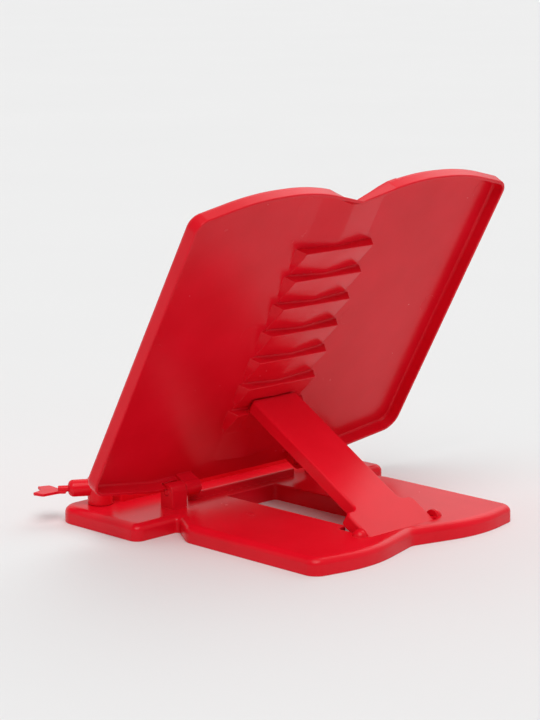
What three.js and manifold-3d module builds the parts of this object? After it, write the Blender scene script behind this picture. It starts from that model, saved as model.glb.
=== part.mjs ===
// Folding bookstand rack: a T-shaped base, a tilting back plate with a spine of
// seven ratchet teeth, a strut that drops into the base slot, and two swivelling
// page holders. Millimetres, +Z up, -Y towards the reader, +Y behind the plate.
import * as THREE from "three";
import { mergeVertices } from "three/addons/utils/BufferGeometryUtils.js";
import Module from "manifold-3d";

const wasm = await Module();
wasm.setup();

// ---------------------------------------------------------------- dimensions
const GAP = 0.3; // running clearance between neighbouring pieces
const ORIGIN_Y = 63.584; // from the foot line of the plate face to the middle of the stand

// Base: a front bar with a tongue behind it, moulded as an open-bottomed shell.
const BASE_HEIGHT = 10.7;
const BASE_EDGE_WIDTH = 5.5; // its upper edge falls off in a quarter ellipse
const BASE_EDGE_DROP = 4.5;
const BASE_WALL = 2.4;
const BAR_HALF = 111.5;
const BAR_FRONT = -34;
const BAR_REAR = 40.3;
const BAR_CORNER = 12.5;
const NECK_HALF = 76.5; // here the bar turns into the widening tongue
const NECK_END = 61; // from here the tongue has its full width
const TONGUE_HALF = 90;
const TONGUE_REAR = 168.5;
const TONGUE_HUMP = 177.4;
const TONGUE_CUSP = 163.4;
const LEDGE_HALF = 80; // low wall that keeps the book on the bar
const LEDGE_FRONT = -19;
const LEDGE_REAR = -9;
const LEDGE_TOP = 20;
const STOP_RIB_HALF = 47; // low rib between the hinge lugs, under the plate
const STOP_RIB_FRONT = 16.4;
const STOP_RIB_REAR = 18.6;
const STOP_RIB_TOP = 15;

// Slot that the strut folds into.
const SLOT_HALF = 22;
const SLOT_FRONT = 25.5;
const SLOT_SHOULDER = 130.6;
const SLOT_WIDE_HALF = 30.5;
const SLOT_REAR = 157.4;

// Back plate, drawn flat in (u, v, n): across, up the slope, out of its rear face.
const PLATE_TILT = 61.2; // degrees from the table
const PLATE_HALF = 135;
const PLATE_BOTTOM = 29.5;
const PLATE_CORNER = 39.3; // the lower edge climbs to here at its outer ends
const PLATE_SHOULDER = 237.4;
const PLATE_HUMP = 249.6;
const PLATE_KINK = 244.9;
const KINK_HALF = 26;
const NOTCH_FRONT = 232.5; // the notch between the two pages slopes up to the rear
const NOTCH_REAR = 238.5;
const FRONT_EDGE_RADIUS = 3.5;
const FACE_N = -1.0; // front face of the pages
const PAGE_N = 0.8; // rear face of the pages
const RIM_N = 8.8; // rear edge of the rim
const RIM_WALL = 2.2;
const COVE_RADIUS = 1.8; // at the foot of the rim
const SPINE_HALF = 28.3;
const SPINE_N = 3.4; // crest of the spine on the rear face
const VALLEY_N = 1.4; // bottom of the valley on the front face
const SPINE_BOTTOM = 38; // the spine and its valley start here
const WEB_BOTTOM = 24; // the page reaches down to here between the hinge lugs

// Ratchet teeth on the spine.
const TOOTH_COUNT = 7;
const TOOTH_PITCH = 20.46;
const TOOTH_LOWEST = 79.4; // shelf of the lowest tooth, up the slope
const TOOTH_HALF = 29;
const TOOTH_N = 7.2; // how far the lips stand out
const PASSAGE_N = 3.65; // the lowest tooth is this low behind the strut
const PASSAGE_ABOVE = 9.2; // it reaches this far above the lowest shelf
const PASSAGE_CLEARANCE = 0.7;

// Plate hinge.
const HINGE_Y = 22.5;
const HINGE_Z = 20.8;
const KNUCKLE_RADIUS = 5.7;
const KNUCKLE_INNER = 58;
const KNUCKLE_OUTER = 70.5;
const LUG_RADIUS = 5;
const LUG_INNER = 44.5;
const LUG_OUTER = 57.2;
const PIN_RADIUS = 2;

// Strut, drawn flat in (x, s, t): across, from pivot to tip, out of its top face.
const STRUT_ANGLE = 30.9; // degrees from the table
const STRUT_LENGTH = 124.5;
const STRUT_HALF = 19.4;
const STRUT_TOP = 3.0;
const STRUT_UNDER = -5.2;
const STRUT_WALL = 2;
const STRUT_EDGE = 1.4;
const FOOT_HALF = 29.6;
const FOOT_LENGTH = 20;
const FOOT_OVERHANG = 4.4;
const PIVOT_Y = 151.5;
const PIVOT_Z = 8.6;
const PIVOT_BALL_RADIUS = 4.8;
const PIVOT_BALL_X = 33.4;
const PIVOT_BALL_Z = 9.9; // the bearing's round head sits higher than its bore
const TRUNNION_RADIUS = 2.2;
const TRUNNION_HALF = 34.2;

// Page holders: a post on the bar, a barrel on the post, a finger in the barrel.
const POST_X = 91;
const POST_Y = -16;
const POST_RADIUS = 8;
const POST_TOP = 28.8;
const SPIGOT_RADIUS = 4;
const BARREL_Z = 21.4;
const BARREL_RADIUS = 5.35;
const BARREL_LENGTH = 20.2;
const BARREL_END_RADIUS = 3.4;
const BARREL_ANGLE = 33; // degrees forward of straight out
const FINGER_PIN_RADIUS = 2;
const FINGER_THICKNESS = 1.8;
const FINGER_ROOT = 21.4;
const FINGER_DROP = 1.9; // the blade lies this far below its pin's axis
const FINGER_BEND = 17; // degrees that it turns towards the reader

const ARC_SEGMENTS = 5;
const ROUND_SEGMENTS = 28;

// ------------------------------------------------------------ solids, booleans
function toSolid(geometry) {
  const bare = new THREE.BufferGeometry();
  const source = geometry.index ? geometry.toNonIndexed() : geometry;
  bare.setAttribute("position", source.getAttribute("position"));
  const merged = mergeVertices(bare, 1e-4);
  const triVerts = new Uint32Array(merged.index.array);
  const vertProperties = merged.attributes.position.array;
  const made = new wasm.Manifold(new wasm.Mesh({ numProp: 3, vertProperties, triVerts }));
  if (made.volume() > 0) return made;
  for (let i = 0; i < triVerts.length; i += 3) {
    [triVerts[i + 1], triVerts[i + 2]] = [triVerts[i + 2], triVerts[i + 1]];
  }
  return new wasm.Manifold(new wasm.Mesh({ numProp: 3, vertProperties, triVerts }));
}

function toGeometry(made) {
  const mesh = made.getMesh();
  const stride = mesh.numProp;
  const positions = new Float32Array(mesh.triVerts.length * 3);
  mesh.triVerts.forEach((vertex, i) => {
    for (let k = 0; k < 3; k++) positions[3 * i + k] = mesh.vertProperties[stride * vertex + k];
  });
  const geometry = new THREE.BufferGeometry();
  geometry.setAttribute("position", new THREE.BufferAttribute(positions, 3));
  geometry.computeVertexNormals();
  return geometry;
}

const union = (first, ...rest) => rest.reduce((sum, next) => sum.add(next), first);
const cut = (first, ...rest) => rest.reduce((left, next) => left.subtract(next), first);

// ------------------------------------------------------------------- outlines
// Corners are [x, y, radius]; each becomes an arc with the same number of points,
// so that outlines of one family can be lofted into each other.
function roundedOutline(corners) {
  const points = [];
  corners.forEach(([x, y, radius], i) => {
    const corner = new THREE.Vector2(x, y);
    const before = corners[(i + corners.length - 1) % corners.length];
    const after = corners[(i + 1) % corners.length];
    const inward = new THREE.Vector2(before[0] - x, before[1] - y).normalize();
    const outward = new THREE.Vector2(after[0] - x, after[1] - y).normalize();
    const half = Math.acos(THREE.MathUtils.clamp(inward.dot(outward), -1, 1)) / 2;
    const reach = radius / Math.tan(half);
    const start = corner.clone().addScaledVector(inward, reach);
    const end = corner.clone().addScaledVector(outward, reach);
    const middle = inward.clone().add(outward).normalize();
    const centre = corner.clone().addScaledVector(middle, radius / Math.sin(half));
    for (let k = 0; k <= ARC_SEGMENTS; k++) {
      const along = start.clone().lerp(end, k / ARC_SEGMENTS).sub(centre);
      points.push(centre.clone().add(along.setLength(radius)).toArray());
    }
  });
  return points;
}

// Adds the mirror image of the right-hand corners; a corner on x = 0 isn't repeated.
function mirrored(right) {
  const left = right.filter(([x]) => x > 0).map(([x, y, radius]) => [-x, y, radius]);
  return [...right, ...left.reverse()];
}

// The same corners with every edge moved inwards by inset; a negative inset grows them.
function drawnIn(corners, inset) {
  const points = corners.map(([x, y]) => new THREE.Vector2(x, y));
  return corners.map(([, , radius], i) => {
    const before = points[(i + points.length - 1) % points.length];
    const arriving = points[i].clone().sub(before).normalize();
    const leaving = points[(i + 1) % points.length].clone().sub(points[i]).normalize();
    const turn = arriving.cross(leaving);
    const shift = leaving.clone().sub(arriving).multiplyScalar(inset / turn);
    return [points[i].x + shift.x, points[i].y + shift.y, radius - Math.sign(turn) * inset];
  });
}

const rectangle = (x0, x1, y0, y1, radius) => [
  [x0, y0, radius],
  [x1, y0, radius],
  [x1, y1, radius],
  [x0, y1, radius],
];

// --------------------------------------------------------------- basic solids
// A closed solid through rings of equal length; place(a, b, height) gives the point.
function loft(givenRings, place = (a, b, height) => [a, b, height]) {
  const firstContour = givenRings[0].points.map(([a, b]) => new THREE.Vector2(a, b));
  const turnedRound = THREE.ShapeUtils.isClockWise(firstContour);
  const rings = givenRings.map(({ points, height }) => ({
    points: turnedRound ? [...points].reverse() : points,
    height,
  }));
  const count = rings[0].points.length;
  const positions = rings.flatMap(({ points, height }) => points.flatMap(([a, b]) => place(a, b, height)));
  const indices = [];
  for (let r = 0; r + 1 < rings.length; r++) {
    for (let i = 0; i < count; i++) {
      const a = r * count + i;
      const b = r * count + ((i + 1) % count);
      indices.push(a, b, b + count, a, b + count, a + count);
    }
  }
  const cap = (ring) => {
    const contour = rings[ring].points.map(([a, b]) => new THREE.Vector2(a, b));
    return THREE.ShapeUtils.triangulateShape(contour, []);
  };
  const last = rings.length - 1;
  cap(0).forEach(([a, b, c]) => indices.push(a, c, b));
  cap(last).forEach(([a, b, c]) => indices.push(last * count + a, last * count + b, last * count + c));
  const geometry = new THREE.BufferGeometry();
  geometry.setAttribute("position", new THREE.Float32BufferAttribute(positions, 3));
  geometry.setIndex(indices);
  return toSolid(geometry);
}

const prism = (points, from, to, place) =>
  loft(
    [
      { points, height: from },
      { points, height: to },
    ],
    place,
  );
const prismX = (points, from, to) => prism(points, from, to, (a, b, height) => [height, a, b]);
const prismY = (points, from, to) => prism(points, from, to, (a, b, height) => [a, height, b]);

function box(x0, x1, y0, y1, z0, z1) {
  const geometry = new THREE.BoxGeometry(x1 - x0, y1 - y0, z1 - z0);
  geometry.translate((x0 + x1) / 2, (y0 + y1) / 2, (z0 + z1) / 2);
  return toSolid(geometry);
}

// A slab whose upper edge falls off in a quarter ellipse.
function edgeRoundedSlab(corners, bottom, top, width, drop, steps = 4) {
  const rings = [{ points: roundedOutline(corners), height: bottom }];
  for (let k = 0; k <= steps; k++) {
    const angle = (k / steps) * (Math.PI / 2);
    const points = roundedOutline(drawnIn(corners, width * (1 - Math.cos(angle))));
    rings.push({ points, height: top - drop + drop * Math.sin(angle) });
  }
  return loft(rings);
}

// A turned solid about the Z axis from its [radius, height] profile.
function turned(profile, segments = ROUND_SEGMENTS) {
  const points = profile.map(([radius, height]) => new THREE.Vector2(radius, height));
  return new THREE.LatheGeometry(points, segments).rotateX(Math.PI / 2);
}

function cylinderX(y, z, radius, x0, x1, segments = ROUND_SEGMENTS) {
  const geometry = new THREE.CylinderGeometry(radius, radius, Math.abs(x1 - x0), segments);
  geometry.rotateZ(Math.PI / 2).translate((x0 + x1) / 2, y, z);
  return toSolid(geometry);
}

function cylinderZ(x, y, radius, z0, z1, segments = ROUND_SEGMENTS) {
  const geometry = new THREE.CylinderGeometry(radius, radius, z1 - z0, segments);
  geometry.rotateX(Math.PI / 2).translate(x, y, (z0 + z1) / 2);
  return toSolid(geometry);
}

// ----------------------------------------------------------------------- base
const BASE_CORNERS = mirrored([
  [BAR_HALF, BAR_FRONT, BAR_CORNER],
  [BAR_HALF, BAR_REAR, 6],
  [NECK_HALF, BAR_REAR, 2],
  [TONGUE_HALF, NECK_END, 14],
  [TONGUE_HALF, TONGUE_REAR, 9],
  [49, TONGUE_HUMP, 90],
  [0, TONGUE_CUSP, 10],
]);

const SLOT_CORNERS = mirrored([
  [SLOT_HALF, SLOT_FRONT, 3],
  [SLOT_HALF, SLOT_SHOULDER, 3],
  [SLOT_WIDE_HALF, SLOT_SHOULDER, 3],
  [SLOT_WIDE_HALF, SLOT_REAR, 2],
]);

function ledge() {
  const profile = roundedOutline([
    [LEDGE_FRONT, BASE_HEIGHT - 1, 0.2],
    [LEDGE_REAR, BASE_HEIGHT - 1, 0.2],
    [LEDGE_REAR, LEDGE_TOP, 3],
    [LEDGE_FRONT, LEDGE_TOP, 3],
  ]);
  return prismX(profile, -LEDGE_HALF, LEDGE_HALF);
}

function hingeKnuckle(side) {
  const [x0, x1] = [side * KNUCKLE_INNER, side * KNUCKLE_OUTER].sort((a, b) => a - b);
  const front = HINGE_Y - KNUCKLE_RADIUS;
  const rear = HINGE_Y + KNUCKLE_RADIUS;
  const block = box(x0, x1, front, rear, BASE_HEIGHT - 1, HINGE_Z);
  return union(block, cylinderX(HINGE_Y, HINGE_Z, KNUCKLE_RADIUS, x0, x1));
}

// Ball-ended bearing beside the slot; the strut's trunnion turns inside it.
function pivotBearing(side) {
  const profile = [[0, SLOT_WIDE_HALF], [PIVOT_BALL_RADIUS, SLOT_WIDE_HALF]];
  for (let k = 0; k <= 6; k++) {
    const angle = (k / 6) * (Math.PI / 2);
    const radius = k === 6 ? 0 : PIVOT_BALL_RADIUS * Math.cos(angle);
    profile.push([radius, PIVOT_BALL_X + PIVOT_BALL_RADIUS * Math.sin(angle)]);
  }
  const geometry = turned(profile).rotateY((side * Math.PI) / 2).translate(0, PIVOT_Y, PIVOT_BALL_Z);
  return toSolid(geometry);
}

// Rounded rib that fills the gap below the plate when the stand is open.
function stopRib() {
  const profile = roundedOutline([
    [STOP_RIB_FRONT, BASE_HEIGHT - 1, 0.2],
    [STOP_RIB_REAR, BASE_HEIGHT - 1, 0.2],
    [STOP_RIB_REAR, STOP_RIB_TOP, 0.8],
    [STOP_RIB_FRONT, STOP_RIB_TOP, 0.8],
  ]);
  return prismX(profile, -STOP_RIB_HALF, STOP_RIB_HALF);
}

function basePlate() {
  const hollowCorners = drawnIn(BASE_CORNERS, BASE_WALL);
  const hollow = edgeRoundedSlab(hollowCorners, -1, BASE_HEIGHT - BASE_WALL, 3.5, 2.5);
  const slotRing = prism(roundedOutline(drawnIn(SLOT_CORNERS, -BASE_WALL)), -2, BASE_HEIGHT);
  let shell = edgeRoundedSlab(BASE_CORNERS, 0, BASE_HEIGHT, BASE_EDGE_WIDTH, BASE_EDGE_DROP);
  shell = cut(shell, cut(hollow, slotRing));
  const sides = [1, -1];
  sides.forEach((side) => {
    const boss = cylinderZ(side * POST_X, POST_Y, SPIGOT_RADIUS + 3, 0.5, BASE_HEIGHT - 0.5);
    shell = union(shell, hingeKnuckle(side), pivotBearing(side), boss);
  });
  shell = union(shell, ledge(), stopRib());
  shell = cut(shell, prism(roundedOutline(SLOT_CORNERS), -1, BASE_HEIGHT + 5));
  sides.forEach((side) => {
    const spigotBore = cylinderZ(side * POST_X, POST_Y, SPIGOT_RADIUS + GAP + 0.05, -1, BASE_HEIGHT + 1);
    const pinBore = cylinderX(HINGE_Y, HINGE_Z, PIN_RADIUS + GAP + 0.05, side * 50, side * 75);
    const trunnionBore = cylinderX(PIVOT_Y, PIVOT_Z, TRUNNION_RADIUS + 0.4, side * 27, side * (TRUNNION_HALF + 0.7));
    shell = cut(shell, spigotBore, pinBore, trunnionBore);
  });
  return shell;
}

// ----------------------------------------------------------------- back plate
function plateCorners(height) {
  const rise = Math.max(0, (height - VALLEY_N) / (RIM_N - VALLEY_N));
  return mirrored([
    [80, PLATE_BOTTOM, 60],
    [PLATE_HALF, PLATE_CORNER, 12],
    [PLATE_HALF, PLATE_SHOULDER, 9.5],
    [90, PLATE_HUMP - 0.6, 110],
    [47, PLATE_HUMP, 60],
    [KINK_HALF, PLATE_KINK, 8],
    [0, NOTCH_FRONT + (NOTCH_REAR - NOTCH_FRONT) * rise, 5],
  ]);
}

// A solid through the plate's outline at several heights, each drawn in by its inset.
function plateLoft(steps) {
  const ring = ([inset, height]) => roundedOutline(drawnIn(plateCorners(height), inset));
  return loft(steps.map((step) => ({ points: ring(step), height: step[1] })));
}

// [inset, height] steps of a quarter round that rises from a flat face into an upright wall.
function quarterSteps(inset, height, radius, steps) {
  const pairs = [];
  for (let k = 0; k <= steps; k++) {
    const angle = (k / steps) * (Math.PI / 2);
    pairs.push([inset + radius * (1 - Math.sin(angle)), height + radius * (1 - Math.cos(angle))]);
  }
  return pairs;
}

// Crest line of the convex ridge on the rear face, over the valley on the front face.
function spineCrest(scale, lift) {
  const flank = [
    [-SPINE_HALF, PAGE_N],
    [-10, SPINE_N - 0.85],
    [-4, SPINE_N - 0.15],
  ];
  const mirroredFlank = flank.map(([u, n]) => [-u, n]).reverse();
  return [...flank, [0, SPINE_N], ...mirroredFlank].map(([u, n]) => [u * scale, n + lift]);
}

function spineRidge() {
  const section = [[-SPINE_HALF, FACE_N + 0.6], ...spineCrest(1, 0), [SPINE_HALF, FACE_N + 0.6]];
  return prismY(section, SPINE_BOTTOM, PLATE_HUMP + 5);
}

function frontValley() {
  const section = [
    [-KINK_HALF, FACE_N],
    [-KINK_HALF, FACE_N - 3],
    [KINK_HALF, FACE_N - 3],
    [KINK_HALF, FACE_N],
    [0, VALLEY_N],
  ];
  return prismY(section, SPINE_BOTTOM + 4, PLATE_HUMP + 10);
}

// A wedge that rises from the ridge to a straight lip, with its shelf facing up the slope.
function ratchetTooth(index) {
  const shelf = TOOTH_LOWEST + index * TOOTH_PITCH;
  const root = PAGE_N - 0.8;
  const foot = spineCrest(TOOTH_HALF / SPINE_HALF, -0.05);
  const lip = foot.map(([u]) => [u, TOOTH_N]);
  const closed = (top) => [[-TOOTH_HALF, root], ...top, [TOOTH_HALF, root]];
  const rings = [
    { points: closed(foot), height: shelf - TOOTH_PITCH },
    { points: closed(lip), height: shelf },
  ];
  return loft(rings, (a, b, height) => [a, height, b]);
}

// Room round the strut's tip, and below it in the lowest tooth for the tip to swing down.
function strutPassage() {
  const half = STRUT_HALF + PASSAGE_CLEARANCE;
  const foot = TOOTH_LOWEST - TOOTH_PITCH - 1;
  return box(-half, half, foot, TOOTH_LOWEST + PASSAGE_ABOVE, PASSAGE_N, RIM_N + 1);
}

// The hinge axis as the flat plate sees it.
function hingeOnPlate() {
  const tilt = THREE.MathUtils.degToRad(PLATE_TILT);
  const v = HINGE_Y * Math.cos(tilt) + HINGE_Z * Math.sin(tilt);
  const n = HINGE_Y * Math.sin(tilt) - HINGE_Z * Math.cos(tilt);
  return { v, n };
}

function hingeLug(side) {
  const { v, n } = hingeOnPlate();
  const [u0, u1] = [side * LUG_INNER, side * LUG_OUTER].sort((a, b) => a - b);
  const web = box(u0, u1, v - LUG_RADIUS + 0.4, v + LUG_RADIUS - 0.4, PAGE_N - 0.5, n);
  return union(web, cylinderX(v, n, LUG_RADIUS, u0, u1));
}

// Opening in the rim between the hinge lugs, down to the rear face of the page.
function rimOpening() {
  const corners = rectangle(-LUG_INNER, LUG_INNER, WEB_BOTTOM - 2, SPINE_BOTTOM - 0.5, 1.5);
  return prism(roundedOutline(corners), PAGE_N, RIM_N + 1);
}

function lowerWeb() {
  const corners = rectangle(-LUG_OUTER + 0.5, LUG_OUTER - 0.5, WEB_BOTTOM, PLATE_BOTTOM + 4, 1);
  return prism(roundedOutline(corners), FACE_N + 0.4, PAGE_N);
}

function backPlate() {
  const slab = plateLoft([...quarterSteps(0, FACE_N, FRONT_EDGE_RADIUS, 4), [0, RIM_N]]);
  const tray = plateLoft([...quarterSteps(RIM_WALL, PAGE_N, COVE_RADIUS, 3), [RIM_WALL, RIM_N + 1]]);
  const inside = plateLoft([[1, FACE_N - 1], [1, VALLEY_N], [1, RIM_N + 1]]);
  let plate = union(cut(slab, tray, rimOpening()), lowerWeb());
  plate = union(plate, spineRidge().intersect(inside));
  for (let index = 0; index < TOOTH_COUNT; index++) plate = union(plate, ratchetTooth(index));
  plate = cut(plate, strutPassage());
  plate = union(plate, hingeLug(1), hingeLug(-1));
  plate = cut(plate, frontValley());
  const { v, n } = hingeOnPlate();
  [1, -1].forEach((side) => {
    const knuckleEnd = side * (KNUCKLE_OUTER + 0.7);
    const around = cylinderX(v, n, KNUCKLE_RADIUS + 0.8, side * (LUG_OUTER + GAP), knuckleEnd);
    const pinBore = cylinderX(v, n, PIN_RADIUS + GAP + 0.05, side * 43, side * 72);
    plate = cut(plate, around, pinBore);
  });
  return plate;
}

// ---------------------------------------------------------------------- strut
const STRUT_CORNERS = mirrored([
  [FOOT_HALF, -FOOT_OVERHANG, 3],
  [FOOT_HALF, FOOT_LENGTH, 4],
  [STRUT_HALF, FOOT_LENGTH, 4],
  [STRUT_HALF, STRUT_LENGTH, 3],
]);

function strut() {
  const bar = edgeRoundedSlab(STRUT_CORNERS, STRUT_UNDER, STRUT_TOP, STRUT_EDGE, STRUT_EDGE);
  const innerHalf = STRUT_HALF - STRUT_WALL;
  const innerCorners = rectangle(-innerHalf, innerHalf, 6, STRUT_LENGTH - STRUT_WALL, 1.5);
  const channel = prism(roundedOutline(innerCorners), STRUT_UNDER - 1, STRUT_TOP - STRUT_WALL);
  const trunnion = cylinderX(0, 0, TRUNNION_RADIUS, -TRUNNION_HALF, TRUNNION_HALF);
  return union(cut(bar, channel), trunnion);
}

// --------------------------------------------------------------- hinge pins
function hingePin() {
  const length = KNUCKLE_OUTER - LUG_INNER;
  const chamfer = 0.4;
  const profile = [
    [0, 0],
    [PIN_RADIUS - chamfer, 0],
    [PIN_RADIUS, chamfer],
    [PIN_RADIUS, length - chamfer],
    [PIN_RADIUS - chamfer, length],
    [0, length],
  ];
  return toSolid(turned(profile, 24));
}

// --------------------------------------------------------------- page holders
function holderPost() {
  const foot = BASE_HEIGHT + GAP;
  const profile = [
    [0, 2.5],
    [SPIGOT_RADIUS, 2.5],
    [SPIGOT_RADIUS, foot],
    [POST_RADIUS, foot],
    [POST_RADIUS, POST_TOP - 2.6],
    [POST_RADIUS - 0.6, POST_TOP - 1.4],
    [POST_RADIUS - 2.4, POST_TOP - 0.4],
    [0, POST_TOP],
  ];
  const barrelProfile = [[0, 0], [BARREL_RADIUS, 0]];
  for (let k = 0; k <= 5; k++) {
    const angle = (k / 5) * (Math.PI / 2);
    const inset = BARREL_END_RADIUS * (1 - Math.cos(angle));
    const height = BARREL_LENGTH - BARREL_END_RADIUS * (1 - Math.sin(angle));
    barrelProfile.push([BARREL_RADIUS - inset, height]);
  }
  barrelProfile.push([0, BARREL_LENGTH]);
  const barrel = turned(barrelProfile).rotateY(Math.PI / 2).translate(0, 0, BARREL_Z);
  const bore = cylinderX(0, BARREL_Z, FINGER_PIN_RADIUS + 0.4, 7, BARREL_LENGTH + 1, 20);
  return cut(union(toSolid(turned(profile)), toSolid(barrel)), bore);
}

// A flat fishtail blade under a round pin that points along +X.
function pageFinger(side) {
  const near = [
    [0, 2.6, 0.4],
    [4, 3, 6],
    [12.5, 11.5, 2],
    [19.5, 8, 0.8],
  ];
  const far = near.map(([x, y, radius]) => [x, -y, radius]);
  const outline = roundedOutline([...far, [15.5, 0, 2], ...near.reverse()]);
  const middle = BARREL_Z - FINGER_DROP;
  const half = FINGER_THICKNESS / 2;
  const turn = THREE.MathUtils.degToRad(-side * FINGER_BEND);
  const place = (a, b, height) => {
    const turned = new THREE.Vector2(a, b).rotateAround(new THREE.Vector2(), turn);
    return [FINGER_ROOT + turned.x, turned.y, height];
  };
  const blade = prism(outline, middle - half, middle + half, place);
  return union(blade, cylinderX(0, BARREL_Z, FINGER_PIN_RADIUS, 8, FINGER_ROOT + 5, 20));
}

// ------------------------------------------------------------------- assembly
const stand = new THREE.Group();
stand.name = "folding_bookstand";

const PLASTIC_RED = 0xc8102e;

function addPiece(name, made, placement = new THREE.Matrix4()) {
  const geometry = toGeometry(made).applyMatrix4(placement);
  const material = new THREE.MeshStandardMaterial({ color: PLASTIC_RED, roughness: 0.4 });
  const mesh = new THREE.Mesh(geometry.translate(0, -ORIGIN_Y, 0), material);
  mesh.name = name;
  stand.add(mesh);
}

// Placement of a piece drawn flat: its second axis climbs at `angle` from the table.
function leaning(angle, towards, y, z) {
  const radians = THREE.MathUtils.degToRad(angle);
  const along = new THREE.Vector3(0, towards * Math.cos(radians), Math.sin(radians));
  const across = new THREE.Vector3(-1, 0, 0);
  const normal = across.clone().cross(along);
  return new THREE.Matrix4().makeBasis(across, along, normal).setPosition(0, y, z);
}

function holderPlacement(side) {
  const swing = THREE.MathUtils.degToRad(side > 0 ? -BARREL_ANGLE : 180 + BARREL_ANGLE);
  return new THREE.Matrix4().makeRotationZ(swing).setPosition(side * POST_X, POST_Y, 0);
}

addPiece("base_plate", basePlate());
addPiece("back_plate", backPlate(), leaning(PLATE_TILT, 1, 0, 0));
addPiece("strut", strut(), leaning(STRUT_ANGLE, -1, PIVOT_Y, PIVOT_Z));
[
  ["left", 1],
  ["right", -1],
].forEach(([label, side]) => {
  const pinPlacement = new THREE.Matrix4().makeRotationY((side * Math.PI) / 2);
  pinPlacement.setPosition(side * LUG_INNER, HINGE_Y, HINGE_Z);
  addPiece(`hinge_pin_${label}`, hingePin(), pinPlacement);
  addPiece(`holder_post_${label}`, holderPost(), holderPlacement(side));
  addPiece(`page_finger_${label}`, pageFinger(side), holderPlacement(side));
});

export default stand;
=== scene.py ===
"""Looks of the folding bookstand rack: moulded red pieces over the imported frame, on a pale floor.

Lengths are drawn in millimetres in the stand's own coordinates and turned into metres when a
piece is placed: X across, Y from the foot line of the plate face towards the back, Z up.
"""

import math

import bmesh
import bpy
from mathutils import Matrix, Vector


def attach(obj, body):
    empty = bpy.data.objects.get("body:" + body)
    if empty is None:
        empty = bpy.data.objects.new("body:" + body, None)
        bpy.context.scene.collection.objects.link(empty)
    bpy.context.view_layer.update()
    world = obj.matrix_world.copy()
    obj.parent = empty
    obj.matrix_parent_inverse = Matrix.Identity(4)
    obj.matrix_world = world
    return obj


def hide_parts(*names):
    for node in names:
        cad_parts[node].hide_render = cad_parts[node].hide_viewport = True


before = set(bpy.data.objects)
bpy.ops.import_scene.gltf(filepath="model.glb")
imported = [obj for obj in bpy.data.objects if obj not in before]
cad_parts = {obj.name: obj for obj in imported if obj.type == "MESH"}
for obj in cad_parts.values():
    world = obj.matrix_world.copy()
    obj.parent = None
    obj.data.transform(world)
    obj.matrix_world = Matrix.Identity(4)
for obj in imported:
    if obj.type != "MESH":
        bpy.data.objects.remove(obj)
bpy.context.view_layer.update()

# ------------------------------------------------------------------ dimensions
METRES = 0.001
ORIGIN_Y = 63.584  # from the foot line of the plate face to the frame's origin
GAP = 0.3
SUNK = 2.0  # how deep an added block reaches into the shell

# Base: a T-shaped shell with a bar, a neck and a tongue.
BASE_HEIGHT = 10.7
BASE_EDGE_WIDTH = 5.5
BASE_EDGE_DROP = 4.5
BASE_WALL = 2.4
BAR_HALF = 111.5
BAR_FRONT = -34.0
BAR_REAR = 40.3
BAR_CORNER = 12.5
NECK_HALF = 76.5
NECK_END = 61.0
TONGUE_HALF = 90.0
TONGUE_REAR = 168.5
TONGUE_HUMP = 177.4
TONGUE_CUSP = 163.4
LEDGE_HALF = 80.0
LEDGE_FRONT = -19.0
LEDGE_REAR = -9.0
LEDGE_TOP = 20.0
STOP_RIB_HALF = 47.0
STOP_RIB_FRONT = 16.4
STOP_RIB_REAR = 18.6
STOP_RIB_TOP = 15.0

# Slot that takes the folded strut, wider at the strut's foot.
SLOT_HALF = 22.0
SLOT_FRONT = 25.5
SLOT_SHOULDER = 130.6
SLOT_WIDE_HALF = 30.5
SLOT_REAR = 157.4
SLOT_EDGE = 0.8

# Back plate, drawn flat: u across, v up the slope, n out of its rear face.
PLATE_TILT = 61.2
PLATE_HALF = 135.0
PLATE_BOTTOM = 29.5
PLATE_CORNER = 39.3
PLATE_SHOULDER = 237.4
PLATE_HUMP = 249.6
PLATE_KINK = 244.9
KINK_HALF = 26.0
NOTCH_FRONT = 232.5
NOTCH_REAR = 238.5
FRONT_EDGE_RADIUS = 3.5
FACE_N = -1.0
PAGE_N = 0.8
RIM_N = 8.8
RIM_WALL = 2.2
RIM_EDGE = 0.8
RIM_INNER_EDGE = 0.5
COVE_RADIUS = 1.8
SPINE_HALF = 28.3
SPINE_N = 3.4
RIDGE_SOFTNESS = 0.106  # rounds the top of the ridge
VALLEY_N = 1.4
VALLEY_SPREAD = 30.0
VALLEY_FALL = 60.0
VALLEY_ANGLE = 5.3
SPINE_BOTTOM = 38.0
WEB_BOTTOM = 24.0

# Ratchet teeth on the ridge, and the room for the strut's tip in the lowest one.
TOOTH_COUNT = 7
TOOTH_PITCH = 20.46
TOOTH_LOWEST = 79.4
TOOTH_HALF = 29.0
TOOTH_N = 7.2
TOOTH_SIDE = 0.4  # how far the ridge's loft is wider than a tooth, on each side
LIP_RADIUS = 0.45
FILLET_LENGTH = 1.5
FILLET_RISE = 0.32
FLANK_DRAFT = 4.3
PASSAGE_N = 3.65
PASSAGE_ABOVE = 9.2
PASSAGE_CLEARANCE = 0.7

# Plate hinge: knuckles on the base, lugs on the plate.
HINGE_Y = 22.5
HINGE_Z = 20.8
KNUCKLE_RADIUS = 5.7
KNUCKLE_INNER = 58.0
KNUCKLE_OUTER = 70.5
LUG_RADIUS = 5.0
LUG_INNER = 44.5
LUG_OUTER = 57.2
PIN_RADIUS = 2.0

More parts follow.
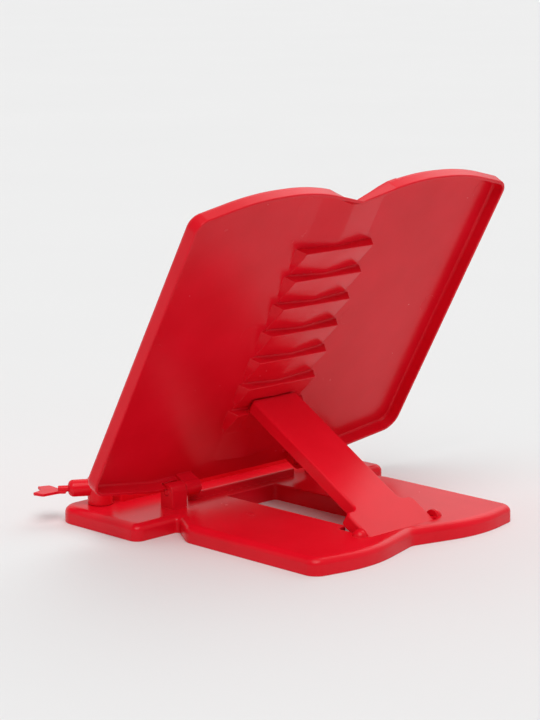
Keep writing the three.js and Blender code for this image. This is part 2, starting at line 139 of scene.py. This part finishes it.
# Strut, drawn flat from its pivot, and its bearings on the base.
STRUT_ANGLE = 30.9
STRUT_LENGTH = 124.5
STRUT_HALF = 19.4
STRUT_TOP = 3.0
STRUT_UNDER = -5.2
STRUT_WALL = 2.0
STRUT_EDGE = 1.4
FOOT_HALF = 29.6
FOOT_LENGTH = 20.0
FOOT_OVERHANG = 4.4
PIVOT_Y = 151.5
PIVOT_Z = 8.6
BALL_RADIUS = 4.8
BALL_X = 33.4
BALL_Z = 9.9
GROOVE_DEPTH = 0.5
TRUNNION_RADIUS = 2.2
TRUNNION_HALF = 34.2

# Page holders: a post with a side barrel, and a finger that turns in it.
POST_X = 91.0
POST_Y = -16.0
POST_RADIUS = 8.0
POST_TOP = 28.8
CAP_WIDTH = 2.6
CAP_RISE = 2.2
SPIGOT_RADIUS = 4.0
BARREL_Z = 21.4
BARREL_RADIUS = 5.35
BARREL_LENGTH = 20.2
BARREL_END_RADIUS = 3.4
BARREL_ANGLE = 33.0
FINGER_PIN_RADIUS = 2.0
FINGER_THICKNESS = 1.8
FINGER_ROOT = 21.4
FINGER_DROP = 1.9
FINGER_BEND = 17.0

SHARP_ANGLE = 34.0  # edges blunter than this are shaded smooth


# -------------------------------------------------------------------- outlines
def rounded_outline(corners, segments=10):
    """Corners (x, y, radius) become arcs with the same number of points each."""
    points = []
    for i, (x, y, radius) in enumerate(corners):
        corner = Vector((x, y))
        before = Vector(corners[i - 1][:2])
        after = Vector(corners[(i + 1) % len(corners)][:2])
        inward = (before - corner).normalized()
        outward = (after - corner).normalized()
        half = inward.angle(outward) / 2
        centre = corner + (inward + outward).normalized() * (radius / math.sin(half))
        start = corner + inward * (radius / math.tan(half)) - centre
        sweep = math.copysign(math.pi - 2 * half, outward.cross(inward))
        first = math.atan2(start.y, start.x)
        for k in range(segments + 1):
            angle = first + sweep * k / segments
            points.append(centre + Vector((math.cos(angle), math.sin(angle))) * radius)
    return points


def drawn_in(corners, inset):
    """The same corners with every edge moved inwards; a negative inset grows them."""
    moved = []
    for i, (x, y, radius) in enumerate(corners):
        corner = Vector((x, y))
        arriving = (corner - Vector(corners[i - 1][:2])).normalized()
        leaving = (Vector(corners[(i + 1) % len(corners)][:2]) - corner).normalized()
        turn = arriving.cross(leaving)
        spot = corner + (leaving - arriving) * (inset / turn)
        moved.append((spot.x, spot.y, max(0.02, radius - math.copysign(inset, turn))))
    return moved


def mirrored(right):
    """The right-hand corners and their mirror image; a corner on x = 0 isn't repeated."""
    left = [(-x, y, radius) for x, y, radius in right if x > 0]
    return right + left[::-1]


def rectangle(x0, x1, y0, y1, radius):
    return [(x0, y0, radius), (x1, y0, radius), (x1, y1, radius), (x0, y1, radius)]


def quarter(steps):
    return [k / steps * math.pi / 2 for k in range(steps + 1)]


def edge_steps(height, width, drop=None, steps=6):
    """(inset, height) pairs of a rounded edge that ends on the level `height`."""
    drop = width if drop is None else drop
    return [(width * (1 - math.cos(a)), height - drop * (1 - math.sin(a))) for a in quarter(steps)]


# ---------------------------------------------------------------------- solids
def as_object(name, vertices, faces):
    mesh = bpy.data.meshes.new(name)
    mesh.from_pydata(vertices, [], faces)
    shell = bmesh.new()
    shell.from_mesh(mesh)
    bmesh.ops.remove_doubles(shell, verts=shell.verts, dist=1e-5)
    bmesh.ops.recalc_face_normals(shell, faces=shell.faces)
    shell.to_mesh(mesh)
    shell.free()
    made = bpy.data.objects.new(name, mesh)
    bpy.context.scene.collection.objects.link(made)
    return made


def flat(a, b, height):
    return (a, b, height)


def along_x(a, b, height):
    return (height, a, b)


def along_y(a, b, height):
    return (a, height, b)


def loft(rings, place=flat, name="solid"):
    """A closed solid through rings (points, height) of equal length."""
    count = len(rings[0][0])
    vertices = [place(p[0], p[1], height) for points, height in rings for p in points]
    faces = []
    for r in range(len(rings) - 1):
        for i in range(count):
            a = r * count + i
            b = r * count + (i + 1) % count
            faces.append((a, b, b + count, a + count))
    last = (len(rings) - 1) * count
    faces.append(tuple(range(count))[::-1])
    faces.append(tuple(range(last, last + count)))
    return as_object(name, vertices, faces)


def outline_loft(corners, steps, place=flat, segments=10, name="solid"):
    """A loft through an outline at (inset, height) steps; `corners` may depend on the height."""
    rings = []
    for inset, height in steps:
        level = corners(height) if callable(corners) else corners
        rings.append((rounded_outline(drawn_in(level, inset), segments), height))
    return loft(rings, place, name)


def soft_prism(corners, low, high, radius, place=flat, segments=8, name="solid"):
    """A prism whose two ends have rounded edges."""
    upper = edge_steps(high, radius, steps=4)
    lower = [(inset, low + high - level) for inset, level in upper[::-1]]
    return outline_loft(corners, lower + upper, place, segments, name)


def turned(profile, place=flat, segments=64, name="solid"):
    """A solid turned about the third axis from (radius, height) pairs."""
    rings = []
    for radius, height in profile:
        points = []
        for k in range(segments):
            angle = 2 * math.pi * k / segments
            points.append((radius * math.cos(angle), radius * math.sin(angle)))
        rings.append((points, height))
    return loft(rings, place, name)


def rod_x(y, z, radius, x0, x1, edge=0.0, segments=64):
    """A round rod along X, its end edges rounded by `edge`."""
    low, high = min(x0, x1), max(x0, x1)
    profile = [(radius, low), (radius, high)]
    if edge:
        upper = [(radius - inset, level) for inset, level in edge_steps(high, edge, steps=4)]
        profile = [(r, low + high - level) for r, level in upper[::-1]] + upper
    return turned(profile, lambda a, b, height: (height, y + a, z + b), segments)


def rod_z(x, y, radius, z0, z1, segments=48):
    profile = [(radius, z0), (radius, z1)]
    return turned(profile, lambda a, b, height: (x + a, y + b, height), segments)


def block(x0, x1, y0, y1, z0, z1):
    corners = [(x0, y0), (x1, y0), (x1, y1), (x0, y1)]
    return loft([(corners, z0), (corners, z1)])


def combine(target, tool, operation):
    modifier = target.modifiers.new("carve", "BOOLEAN")
    modifier.operation = operation
    modifier.solver = "EXACT"
    modifier.object = tool
    graph = bpy.context.evaluated_depsgraph_get()
    made = bpy.data.meshes.new_from_object(target.evaluated_get(graph))
    target.modifiers.clear()
    target.data = made
    bpy.data.objects.remove(tool)
    return target


def union(target, *tools):
    for tool in tools:
        combine(target, tool, "UNION")
    return target


def cut(target, *tools):
    for tool in tools:
        combine(target, tool, "DIFFERENCE")
    return target


# ------------------------------------------------------------------------ base
BASE_CORNERS = mirrored(
    [
        (BAR_HALF, BAR_FRONT, BAR_CORNER),
        (BAR_HALF, BAR_REAR, 6),
        (NECK_HALF, BAR_REAR, 2),
        (TONGUE_HALF, NECK_END, 14),
        (TONGUE_HALF, TONGUE_REAR, 9),
        (49, TONGUE_HUMP, 90),
        (0, TONGUE_CUSP, 10),
    ]
)

SLOT_CORNERS = mirrored(
    [
        (SLOT_HALF, SLOT_FRONT, 3),
        (SLOT_HALF, SLOT_SHOULDER, 3),
        (SLOT_WIDE_HALF, SLOT_SHOULDER, 3),
        (SLOT_WIDE_HALF, SLOT_REAR, 2),
    ]
)


def hinge_knuckle(side):
    """A block with a round head that carries the plate's pin."""
    x0, x1 = sorted((side * KNUCKLE_INNER, side * KNUCKLE_OUTER))
    front = HINGE_Y - KNUCKLE_RADIUS
    rear = HINGE_Y + KNUCKLE_RADIUS
    head = KNUCKLE_RADIUS - 0.01
    top = HINGE_Z + KNUCKLE_RADIUS
    foot = BASE_HEIGHT - SUNK
    corners = [(front, foot, 1), (rear, foot, 1), (rear, top, head), (front, top, head)]
    return soft_prism(corners, x0, x1, 0.8, along_x, segments=16)


def pivot_bearing(side):
    """A ball-ended bearing beside the slot, with a groove round its neck."""
    neck = BALL_RADIUS - GROOVE_DEPTH
    profile = [
        (BALL_RADIUS, SLOT_WIDE_HALF - 0.5),
        (BALL_RADIUS, SLOT_WIDE_HALF + 1.3),
        (neck, SLOT_WIDE_HALF + 1.6),
        (neck, SLOT_WIDE_HALF + 2.1),
        (BALL_RADIUS, SLOT_WIDE_HALF + 2.4),
    ]
    for angle in quarter(16)[:-1]:
        profile.append((BALL_RADIUS * math.cos(angle), BALL_X + BALL_RADIUS * math.sin(angle)))
    profile.append((0.05, BALL_X + BALL_RADIUS))
    return turned(profile, lambda a, b, height: (side * height, PIVOT_Y + a, BALL_Z + b))


def ledge():
    corners = rectangle(LEDGE_FRONT, LEDGE_REAR, BASE_HEIGHT - 3, LEDGE_TOP, 3)
    return soft_prism(corners, -LEDGE_HALF, LEDGE_HALF, 1.2, along_x)


def stop_rib():
    corners = rectangle(STOP_RIB_FRONT, STOP_RIB_REAR, BASE_HEIGHT - SUNK, STOP_RIB_TOP, 0.8)
    return soft_prism(corners, -STOP_RIB_HALF, STOP_RIB_HALF, 0.6, along_x)


def base_plate():
    top = edge_steps(BASE_HEIGHT, BASE_EDGE_WIDTH, BASE_EDGE_DROP, steps=12)
    shell = outline_loft(BASE_CORNERS, [(0.3, 0), (0, 0.3)] + top, name="base_shell")
    ceiling = edge_steps(BASE_HEIGHT - BASE_WALL, 3.5, 2.5)
    hollow = outline_loft(drawn_in(BASE_CORNERS, BASE_WALL), [(0, -1)] + ceiling)
    ring = outline_loft(SLOT_CORNERS, [(-BASE_WALL, -2), (-BASE_WALL, BASE_HEIGHT)])
    cut(shell, cut(hollow, ring))
    for side in (1, -1):
        boss = rod_z(side * POST_X, POST_Y, SPIGOT_RADIUS + 3, 0.5, BASE_HEIGHT - 0.5)
        union(shell, hinge_knuckle(side), pivot_bearing(side), boss)
    union(shell, ledge(), stop_rib())
    edge = [(-inset, level) for inset, level in edge_steps(BASE_HEIGHT, SLOT_EDGE, steps=5)]
    cut(shell, outline_loft(SLOT_CORNERS, [(0, -1)] + edge + [(-SLOT_EDGE, BASE_HEIGHT + 5)]))
    for side in (1, -1):
        spigot_bore = rod_z(side * POST_X, POST_Y, SPIGOT_RADIUS + GAP + 0.05, -1, BASE_HEIGHT + 1)
        pin_bore = rod_x(HINGE_Y, HINGE_Z, PIN_RADIUS + GAP, side * 50, side * 75)
        reach = TRUNNION_HALF + 0.7
        trunnion_bore = rod_x(PIVOT_Y, PIVOT_Z, TRUNNION_RADIUS + 0.4, side * 27, side * reach)
        cut(shell, spigot_bore, pin_bore, trunnion_bore)
    return shell


# ------------------------------------------------------------------ back plate
def plate_corners(height):
    """The plate's outline; the notch between the pages slopes up to the rear."""
    rise = max(0, (height - VALLEY_N) / (RIM_N - VALLEY_N))
    return mirrored(
        [
            (80, PLATE_BOTTOM, 60),
            (PLATE_HALF, PLATE_CORNER, 12),
            (PLATE_HALF, PLATE_SHOULDER, 9.5),
            (90, PLATE_HUMP - 0.6, 170),
            (47, PLATE_HUMP, 150),
            (KINK_HALF, PLATE_KINK, 8),
            (0, NOTCH_FRONT + (NOTCH_REAR - NOTCH_FRONT) * rise, 5),
        ]
    )


def rimmed_tray():
    """The pages and their rim as one loft: front face, outer wall, rim edge, cove, rear face."""
    radius = FRONT_EDGE_RADIUS
    steps = [(radius * (1 - math.sin(a)), FACE_N + radius * (1 - math.cos(a))) for a in quarter(10)]
    steps += edge_steps(RIM_N, RIM_EDGE, steps=5)
    inner = edge_steps(RIM_N, RIM_INNER_EDGE, steps=4)[::-1]
    steps += [(RIM_WALL - inset, level) for inset, level in inner]
    foot = RIM_WALL + 0.2 + COVE_RADIUS
    for a in quarter(6):
        steps.append((foot - COVE_RADIUS * math.cos(a), PAGE_N + COVE_RADIUS * (1 - math.sin(a))))
    return outline_loft(plate_corners, steps, segments=14, name="plate")


def crest(u):
    """Height of the ridge on the rear face, `u` mm from its middle."""
    slope = (SPINE_N - PAGE_N + RIDGE_SOFTNESS) / SPINE_HALF
    return SPINE_N + RIDGE_SOFTNESS - math.hypot(slope * u, RIDGE_SOFTNESS)


def spine_ring(v, rise, drop):
    """Cross-section of the toothed ridge: `rise` goes from ridge (0) to lip (1)."""
    half = TOOTH_HALF + TOOTH_SIDE
    steps = 40
    top = []
    for k in range(steps + 1):
        u = -half + LIP_RADIUS + (2 * half - 2 * LIP_RADIUS) * k / steps
        top.append((u, crest(u) + (TOOTH_N - crest(u)) * rise - drop))
    corner = []
    level = crest(half) + (TOOTH_N - crest(half)) * rise - drop
    for angle in quarter(4)[:-1]:
        arm = LIP_RADIUS * (1 - math.sin(angle))
        corner.append((half - LIP_RADIUS * (1 - math.cos(angle)), level - arm))
    left = [(-u, n) for u, n in corner]
    root = PAGE_N - 1.2
    foot = half + FLANK_DRAFT
    return ([(-foot, root)] + left + top + corner[::-1] + [(foot, root)], v)


def toothed_spine():
    """The ridge and its seven ratchet teeth, one ruled loft up the slope."""
    rings = [spine_ring(SPINE_BOTTOM, 0, 0)]
    for index in range(TOOTH_COUNT):
        shelf = TOOTH_LOWEST + index * TOOTH_PITCH
        below = shelf - TOOTH_PITCH
        if index == 0:
            rings.append(spine_ring(below, 0, 0))
        else:
            for angle in quarter(6):
                up = 0.01 + FILLET_LENGTH * (1 - math.cos(angle))
                rise = max(FILLET_RISE * (1 - math.sin(angle)), up / TOOTH_PITCH)
                rings.append(spine_ring(below + up, rise, 0))
        for k in range(1, 8):
            rings.append(spine_ring(below + (TOOTH_PITCH - LIP_RADIUS) * k / 7, k / 7, 0))
        for angle in quarter(4)[1:]:
            drop = LIP_RADIUS * (1 - math.cos(angle))
            rings.append(spine_ring(shelf - LIP_RADIUS * (1 - math.sin(angle)), 1, drop))
    rings.append(spine_ring(shelf + 0.01, 0, 0))
    rings.append(spine_ring(PLATE_HUMP + 5, 0, 0))
    return loft(rings, along_y)


def front_valley():
    """The shallow valley between the two pages on the reader's side."""
    outside = FACE_N - 3
    points = [(-KINK_HALF, FACE_N), (-KINK_HALF, outside), (KINK_HALF, outside), (KINK_HALF, FACE_N)]
    for k in range(-6, 7):
        angle = -k / 6 * math.radians(VALLEY_ANGLE)
        level = VALLEY_N - VALLEY_FALL * (1 - math.cos(angle))
        points.append((VALLEY_SPREAD * math.sin(angle), level))
    return loft([(points, SPINE_BOTTOM + 4), (points, PLATE_HUMP + 10)], along_y)


def strut_passage():
    """Room behind the strut's tip, cut through the lowest tooth."""
    half = STRUT_HALF + PASSAGE_CLEARANCE
    foot = TOOTH_LOWEST - TOOTH_PITCH - 1
    return block(-half, half, foot, TOOTH_LOWEST + PASSAGE_ABOVE, PASSAGE_N, RIM_N + 1)


def hinge_on_plate():
    """The hinge axis in the plate's own v and n."""
    tilt = math.radians(PLATE_TILT)
    v = HINGE_Y * math.cos(tilt) + HINGE_Z * math.sin(tilt)
    n = HINGE_Y * math.sin(tilt) - HINGE_Z * math.cos(tilt)
    return v, n


def hinge_lug(side):
    v, n = hinge_on_plate()
    u0, u1 = sorted((side * LUG_INNER, side * LUG_OUTER))
    web = block(u0, u1, v - LUG_RADIUS + 0.4, v + LUG_RADIUS - 0.4, PAGE_N - 0.5, n)
    return union(rod_x(v, n, LUG_RADIUS, u0, u1, edge=0.6), web)


def rim_opening():
    corners = rectangle(-LUG_INNER, LUG_INNER, WEB_BOTTOM - 2, SPINE_BOTTOM - 0.5, 1.5)
    return outline_loft(corners, [(0, PAGE_N), (0, RIM_N + 1)])


def lower_web():
    corners = rectangle(-LUG_OUTER + 0.5, LUG_OUTER - 0.5, WEB_BOTTOM, PLATE_BOTTOM + 4, 1)
    return outline_loft(corners, [(0.4, FACE_N + 0.4), (0, FACE_N + 0.8), (0, PAGE_N)])


EJECTOR_MARKS = [(40, 234), (121, 229), (120.5, 139.5), (44, 141)]
EJECTOR_RADIUS = 6.0
EJECTOR_PROUD = 0.08


def ejector_mark(u, v):
    profile = [
        (EJECTOR_RADIUS, PAGE_N - 0.3),
        (EJECTOR_RADIUS, PAGE_N + EJECTOR_PROUD / 2),
        (EJECTOR_RADIUS - EJECTOR_PROUD, PAGE_N + EJECTOR_PROUD),
    ]
    return turned(profile, lambda a, b, height: (u + a, v + b, height))


def back_plate():
    plate = union(rimmed_tray(), lower_web())
    cut(plate, rim_opening())
    inside = outline_loft(plate_corners, [(1, FACE_N - 1), (1, VALLEY_N), (1, RIM_N + 1)], segments=14)
    union(plate, combine(toothed_spine(), inside, "INTERSECT"))
    cut(plate, strut_passage())
    union(plate, hinge_lug(1), hinge_lug(-1))
    cut(plate, front_valley())
    v, n = hinge_on_plate()
    for side in (1, -1):
        near, far = side * (LUG_OUTER + GAP), side * (KNUCKLE_OUTER + 0.7)
        around = rod_x(v, n, KNUCKLE_RADIUS + 0.8, near, far)
        pin_bore = rod_x(v, n, PIN_RADIUS + GAP, side * (LUG_INNER - 1.5), side * (KNUCKLE_OUTER + 1.5))
        cut(plate, around, pin_bore)
    for u, v in EJECTOR_MARKS:
        union(plate, ejector_mark(u, v), ejector_mark(-u, v))
    return plate


# ----------------------------------------------------------------------- strut
STRUT_CORNERS = mirrored(
    [
        (FOOT_HALF, -FOOT_OVERHANG, 3),
        (FOOT_HALF, FOOT_LENGTH, 4),
        (STRUT_HALF, FOOT_LENGTH, 4),
        (STRUT_HALF, STRUT_LENGTH, 3),
    ]
)


def strut():
    under = [(0.4, STRUT_UNDER), (0, STRUT_UNDER + 0.4)]
    top = edge_steps(STRUT_TOP, STRUT_EDGE, steps=8)
    bar = outline_loft(STRUT_CORNERS, under + top, name="strut_shell")
    half = STRUT_HALF - STRUT_WALL
    inner = rectangle(-half, half, 6, STRUT_LENGTH - STRUT_WALL, 1.5)
    channel = outline_loft(inner, [(0, STRUT_UNDER - 1), (0, STRUT_TOP - STRUT_WALL)])
    trunnion = rod_x(0, 0, TRUNNION_RADIUS, -TRUNNION_HALF, TRUNNION_HALF, edge=0.4)
    return union(cut(bar, channel), trunnion)


# ------------------------------------------------------------------ small parts
def hinge_pin():
    length = KNUCKLE_OUTER - LUG_INNER
    tip = [(PIN_RADIUS - inset, level) for inset, level in edge_steps(length, 0.4, steps=4)]
    return turned([(r, length - level) for r, level in tip[::-1]] + tip, name="pin")


def holder_post():
    """A capped post on its spigot, with the barrel for the finger's pin along +X."""
    foot = BASE_HEIGHT + GAP
    profile = [
        (SPIGOT_RADIUS, 2.5),
        (SPIGOT_RADIUS, foot),
        (POST_RADIUS - 0.3, foot),
        (POST_RADIUS, foot + 0.3),
    ]
    for angle in quarter(12):
        radius = POST_RADIUS - CAP_WIDTH * (1 - math.cos(angle))
        profile.append((radius, POST_TOP - CAP_WIDTH + CAP_RISE * math.sin(angle)))
    profile.append((0.05, POST_TOP))
    barrel = [(BARREL_RADIUS, 0)]
    for inset, level in edge_steps(BARREL_LENGTH, BARREL_END_RADIUS, steps=10):
        barrel.append((BARREL_RADIUS - inset, level))
    sleeve = turned(barrel, lambda a, b, height: (height, a, BARREL_Z + b))
    bore = rod_x(0, BARREL_Z, FINGER_PIN_RADIUS + 0.4, 7, BARREL_LENGTH + 1)
    return cut(union(turned(profile, name="post"), sleeve), bore)


def page_finger(side):
    """A fishtail blade under a round pin; it turns a little towards the reader."""
    right = [(0, 2.6, 0.4), (4, 3, 6), (12.5, 11.5, 2), (19.5, 8, 0.8)]
    corners = [(x, -y, radius) for x, y, radius in right] + [(15.5, 0, 2)] + right[::-1]
    turn = Matrix.Rotation(math.radians(-side * FINGER_BEND), 2)
    middle = BARREL_Z - FINGER_DROP
    half = FINGER_THICKNESS / 2

    def place(a, b, height):
        spot = turn @ Vector((a, b))
        return (FINGER_ROOT + spot.x, spot.y, height)

    blade = soft_prism(corners, middle - half, middle + half, 0.35, place, name="finger")
    return union(blade, rod_x(0, BARREL_Z, FINGER_PIN_RADIUS, 8, FINGER_ROOT + 5, edge=0.3))


# ------------------------------------------------------------------- materials
def add_node(tree, kind, **settings):
    node = tree.nodes.new(kind)
    for name, value in settings.items():
        setattr(node, name, value)
    return node


def noise(tree, place, scale, detail=3.0, roughness=0.5):
    node = add_node(tree, "ShaderNodeTexNoise")
    node.inputs["Scale"].default_value = scale
    node.inputs["Detail"].default_value = detail
    node.inputs["Roughness"].default_value = roughness
    tree.links.new(place, node.inputs["Vector"])
    return node.outputs["Fac"]


def remap(tree, value, low, high, to_low=0.0, to_high=1.0):
    node = add_node(tree, "ShaderNodeMapRange")
    node.inputs["From Min"].default_value = low
    node.inputs["From Max"].default_value = high
    node.inputs["To Min"].default_value = to_low
    node.inputs["To Max"].default_value = to_high
    tree.links.new(value, node.inputs["Value"])
    return node.outputs["Result"]


def arithmetic(tree, operation, first, second):
    node = add_node(tree, "ShaderNodeMath", operation=operation)
    for socket, value in zip(node.inputs, (first, second)):
        if isinstance(value, float):
            socket.default_value = value
        else:
            tree.links.new(value, socket)
    return node.outputs[0]


def mix_colour(tree, amount, first, second):
    node = add_node(tree, "ShaderNodeMix", data_type="RGBA")
    tree.links.new(amount, node.inputs["Factor"])
    for socket, value in ((node.inputs[6], first), (node.inputs[7], second)):
        if isinstance(value, tuple):
            socket.default_value = (*value, 1.0)
        else:
            tree.links.new(value, socket)
    return node.outputs[2]


def edge_mask(tree, radius):
    """1 on outer and inner edges, 0 on open faces: where a rounded normal leaves the true one."""
    bevel = add_node(tree, "ShaderNodeBevel", samples=4)
    bevel.inputs["Radius"].default_value = radius
    geometry = add_node(tree, "ShaderNodeNewGeometry")
    dot = add_node(tree, "ShaderNodeVectorMath", operation="DOT_PRODUCT")
    tree.links.new(bevel.outputs["Normal"], dot.inputs[0])
    tree.links.new(geometry.outputs["Normal"], dot.inputs[1])
    return remap(tree, dot.outputs["Value"], 0.99, 0.86)


DEEP_RED = (0.72, 0.004, 0.014)
BRIGHT_RED = (0.80, 0.006, 0.020)
WORN_RED = (0.86, 0.14, 0.15)
DUSTY_RED = (0.85, 0.45, 0.45)
GLOSS = 0.24


def worn_edges(tree, place):
    rub = remap(tree, noise(tree, place, 260.0, 5.0, 0.7), 0.42, 0.68)
    return arithmetic(tree, "MULTIPLY", edge_mask(tree, 0.0005), rub)


def dust_specks(tree, place):
    """Small dots, only where a slow noise picks them out."""
    cells = add_node(tree, "ShaderNodeTexVoronoi")
    cells.inputs["Scale"].default_value = 190.0
    tree.links.new(place, cells.inputs["Vector"])
    near = remap(tree, cells.outputs["Distance"], 0.075, 0.045)
    chosen = remap(tree, noise(tree, place, 61.0, 2.0), 0.65, 0.68)
    return arithmetic(tree, "MULTIPLY", near, chosen)


def moulded_surface(tree, place):
    """Bump from a slow swell with a little fine grain."""
    grain = noise(tree, place, 1400.0, 2.0)
    swell = noise(tree, place, 55.0, 2.0)
    height = arithmetic(tree, "ADD", arithmetic(tree, "MULTIPLY", grain, 0.02), swell)
    bump = add_node(tree, "ShaderNodeBump")
    bump.inputs["Strength"].default_value = 0.14
    bump.inputs["Distance"].default_value = 0.0001
    tree.links.new(height, bump.inputs["Height"])
    return bump.outputs["Normal"]


def red_plastic(name):
    """Glossy moulded red: slow colour drift, uneven gloss, paler worn edges and dust specks."""
    material = bpy.data.materials.new(name)
    material.use_nodes = True
    tree = material.node_tree
    shader = tree.nodes["Principled BSDF"]
    place = add_node(tree, "ShaderNodeTexCoord").outputs["Object"]
    worn = worn_edges(tree, place)
    speck = dust_specks(tree, place)

    drift = remap(tree, noise(tree, place, 22.0, 4.0), 0.3, 0.7)
    colour = mix_colour(tree, drift, DEEP_RED, BRIGHT_RED)
    colour = mix_colour(tree, arithmetic(tree, "MULTIPLY", worn, 0.34), colour, WORN_RED)
    colour = mix_colour(tree, arithmetic(tree, "MULTIPLY", speck, 0.5), colour, DUSTY_RED)
    tree.links.new(colour, shader.inputs["Base Color"])

    smears = noise(tree, place, 38.0, 5.0, 0.6)
    rough = remap(tree, smears, 0.25, 0.75, GLOSS - 0.03, GLOSS + 0.04)
    rough = arithmetic(tree, "ADD", rough, arithmetic(tree, "MULTIPLY", worn, 0.12))
    rough = arithmetic(tree, "ADD", rough, arithmetic(tree, "MULTIPLY", speck, 0.3))
    tree.links.new(rough, shader.inputs["Roughness"])
    shader.inputs["IOR"].default_value = 1.5
    shader.inputs["Specular IOR Level"].default_value = 0.2
    tree.links.new(moulded_surface(tree, place), shader.inputs["Normal"])
    return material


# -------------------------------------------------------------------- assembly
def leaning(angle, towards, y, z):
    """Placement of a piece drawn flat: its second axis climbs at `angle` from the table."""
    radians = math.radians(angle)
    along = Vector((0, towards * math.cos(radians), math.sin(radians)))
    across = Vector((-1, 0, 0))
    normal = across.cross(along)
    axes = Matrix((across, along, normal)).transposed().to_4x4()
    return Matrix.Translation((0, y, z)) @ axes


def holder_placement(side):
    swing = math.radians(-BARREL_ANGLE if side > 0 else 180 + BARREL_ANGLE)
    return Matrix.Translation((side * POST_X, POST_Y, 0)) @ Matrix.Rotation(swing, 4, "Z")


def settle(piece, name, placement, material, body):
    """Puts a drawn piece in its place, in metres, and lets it stand for its CAD node."""
    to_frame = Matrix.Scale(METRES, 4) @ Matrix.Translation((0, -ORIGIN_Y, 0)) @ placement
    mesh = piece.data
    mesh.transform(to_frame)
    if to_frame.is_negative:
        mesh.flip_normals()
    mesh.shade_smooth()
    mesh.set_sharp_from_angle(angle=math.radians(SHARP_ANGLE))
    piece.name = "look_" + name
    mesh.name = piece.name
    mesh.materials.clear()
    mesh.materials.append(material)
    normals = piece.modifiers.new("weighted normals", "WEIGHTED_NORMAL")
    normals.keep_sharp = True
    normals.weight = 80
    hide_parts(name)
    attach(piece, body)


def build_stand():
    plastic = red_plastic("moulded_red")
    settle(base_plate(), "base_plate", Matrix.Identity(4), plastic, "base")
    settle(back_plate(), "back_plate", leaning(PLATE_TILT, 1, 0, 0), plastic, "plate")
    settle(strut(), "strut", leaning(STRUT_ANGLE, -1, PIVOT_Y, PIVOT_Z), plastic, "strut")
    for label, side in (("left", 1), ("right", -1)):
        pin_place = Matrix.Translation((side * LUG_INNER, HINGE_Y, HINGE_Z))
        pin_place = pin_place @ Matrix.Rotation(side * math.pi / 2, 4, "Y")
        settle(hinge_pin(), f"hinge_pin_{label}", pin_place, plastic, "base")
        settle(holder_post(), f"holder_post_{label}", holder_placement(side), plastic, f"post_{label}")
        settle(page_finger(side), f"page_finger_{label}", holder_placement(side), plastic, f"finger_{label}")


# ---------------------------------------------------------------------- studio
CAMERA_PLACE = Vector((1.03433, 1.01237, 0.38400))
CAMERA_FORWARD = Vector((-0.69436, -0.69342, -0.19243))
CAMERA_ROLL = -0.1
CAMERA_LENS = 118.7
FLOOR_HALF = 40.0
KEY_AIM = (0.36, 0.38, 0.85)
GLINT_AIM = (0.44, 0.44, 0.76)


def add_camera():
    camera = bpy.data.objects.new("camera", bpy.data.cameras.new("camera"))
    camera.data.lens = CAMERA_LENS
    camera.data.sensor_width = 36.0
    camera.data.clip_end = 100.0
    turn = CAMERA_FORWARD.to_track_quat("-Z", "Y").to_matrix().to_4x4()
    roll = Matrix.Rotation(math.radians(CAMERA_ROLL), 4, "Z")
    camera.matrix_world = Matrix.Translation(CAMERA_PLACE) @ turn @ roll
    bpy.context.scene.collection.objects.link(camera)
    bpy.context.scene.camera = camera


def add_floor():
    half = FLOOR_HALF
    corners = [(-half, -half, 0), (half, -half, 0), (half, half, 0), (-half, half, 0)]
    floor = as_object("floor", corners, [(0, 1, 2, 3)])
    material = bpy.data.materials.new("pale_floor")
    material.use_nodes = True
    tree = material.node_tree
    shader = tree.nodes["Principled BSDF"]
    place = add_node(tree, "ShaderNodeTexCoord").outputs["Object"]
    tone = mix_colour(tree, noise(tree, place, 3.0), (0.78, 0.78, 0.78), (0.80, 0.80, 0.80))
    tree.links.new(tone, shader.inputs["Base Color"])
    shader.inputs["Roughness"].default_value = 0.9
    shader.inputs["Specular IOR Level"].default_value = 0.1
    floor.data.materials.append(material)


def add_lamp(name, aim, angle, energy):
    """A distant lamp in the direction `aim`, `angle` degrees across."""
    lamp = bpy.data.objects.new(name, bpy.data.lights.new(name, "SUN"))
    lamp.data.energy = energy
    lamp.data.angle = math.radians(angle)
    lamp.rotation_euler = Vector(aim).to_track_quat("Z", "Y").to_euler()
    bpy.context.scene.collection.objects.link(lamp)


def add_light():
    """A soft key from above the camera's side, a small lamp for glints, and a room with a bright panel."""
    world = bpy.data.worlds.new("studio")
    world.use_nodes = True
    tree = world.node_tree
    direction = add_node(tree, "ShaderNodeTexCoord").outputs["Generated"]

    def towards(x, y, z, low, high, dim, bright):
        facing = add_node(tree, "ShaderNodeVectorMath", operation="DOT_PRODUCT")
        facing.inputs[1].default_value = Vector((x, y, z)).normalized()
        tree.links.new(direction, facing.inputs[0])
        return remap(tree, facing.outputs["Value"], low, high, dim, bright)

    room = towards(-0.70, -0.70, 0.14, -0.6, 0.7, 0.22, 0.64)
    panel = towards(-0.69, -0.21, 0.69, 0.86, 0.99, 0.0, 1.3)
    background = tree.nodes["Background"]
    background.inputs["Color"].default_value = (1.0, 1.0, 1.0, 1.0)
    tree.links.new(arithmetic(tree, "ADD", room, panel), background.inputs["Strength"])
    bpy.context.scene.world = world
    add_lamp("key", KEY_AIM, 46, 1.8)
    add_lamp("glint", GLINT_AIM, 4, 0.12)


build_stand()
add_camera()
add_floor()
add_light()
bpy.context.scene.view_settings.view_transform = "Standard"
